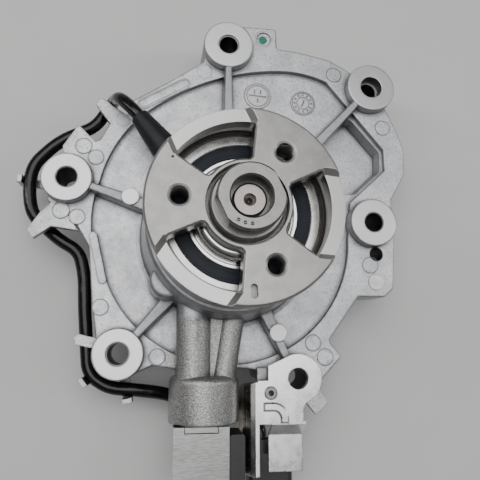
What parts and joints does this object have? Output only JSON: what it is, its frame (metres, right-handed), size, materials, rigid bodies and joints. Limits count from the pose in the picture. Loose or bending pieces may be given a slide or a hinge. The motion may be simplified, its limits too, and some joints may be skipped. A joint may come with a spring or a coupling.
{
  "type": "engine coolant pump",
  "caption": "Belt-driven engine coolant pump: cast cover, pulley carrier on a large bearing, impeller, flow shroud, solenoid valve and clipped lead.",
  "frame": {"origin": "on the pump axis, in the mounting face that meets the engine", "axes": "+Z along the pump axis towards the pulley, +Y towards the upper bolt boss"},
  "size_m": [0.1885, 0.2235, 0.101],
  "materials": {
    "cast_aluminium": "fine-grained die-cast skin",
    "machined_steel": "turned, satin",
    "polished_steel": "ground and polished",
    "dull_steel": "matte grey, slightly stained",
    "zinc_plate": "bright zinc plated",
    "seal_rubber": "slate-blue black, moulded",
    "black_rubber": "matte",
    "black_plastic": "glass-filled nylon",
    "sleeve_plastic": "glossy tube",
    "white_plastic": "natural",
    "amber_plastic": "cage nylon",
    "carbon": "carbon graphite",
    "brass": "tinned contact"
  },
  "bodies": {
    "casting": {"housing": "cast_aluminium", "face_seal": "black_rubber", "dowels": "dull_steel", "gallery_plug": "white_plastic", "main_bearing_outer": "polished_steel", "main_bearing_front_seal": "seal_rubber", "main_bearing_rear_seal": "seal_rubber", "retaining_ring": "dull_steel", "rear_bearing_outer": "polished_steel", "seal_cup": "machined_steel", "seal_bellows": "black_rubber", "seal_carbon": "carbon", "spring_seat": "dull_steel", "return_spring": "machined_steel", "valve_insert": "machined_steel", "valve_o_ring": "black_rubber", "solenoid_core": "dull_steel", "solenoid_coil": "black_plastic", "solenoid_yoke": "dull_steel", "solenoid_end_plate": "dull_steel", "position_sensor": "black_plastic", "lead_boot": "black_rubber", "sensor_lead": "sleeve_plastic", "bracket": "zinc_plate", "bracket_rivet": "zinc_plate", "lead_connector": "black_plastic", "connector_terminals": "brass"},
    "rotor": {"pulley_carrier": "machined_steel", "drive_collar": "machined_steel", "shaft": "machined_steel", "hub_sleeve": "polished_steel", "main_bearing_inner": "polished_steel", "main_bearing_balls": "polished_steel", "main_bearing_cage": "amber_plastic", "rear_bearing_inner": "polished_steel", "rear_bearing_balls": "polished_steel", "seal_seat": "white_plastic", "impeller": "dull_steel"},
    "shroud": {"control_shroud": "machined_steel", "piston_seal": "black_rubber"},
    "plunger": {"valve_plunger": "polished_steel"}
  },
  "joints": [
    {"name": "rotor_spin", "type": "hinge", "parent": "casting", "child": "rotor", "pos_m": [0, 0, 0.05], "axis": [0, 0, 1], "continuous": true},
    {"name": "shroud_slide", "type": "slide", "parent": "casting", "child": "shroud", "axis": [0, 0, -1], "range_m": [0, 0.011], "stiffness_N_per_m": 1500, "springref_m": -0.004, "deforming": ["return_spring"]},
    {"name": "plunger_slide", "type": "slide", "parent": "casting", "child": "plunger", "axis": [0, -1, 0], "range_m": [0, 0.0025], "stiffness_N_per_m": 400, "springref_m": -0.002}
  ]
}
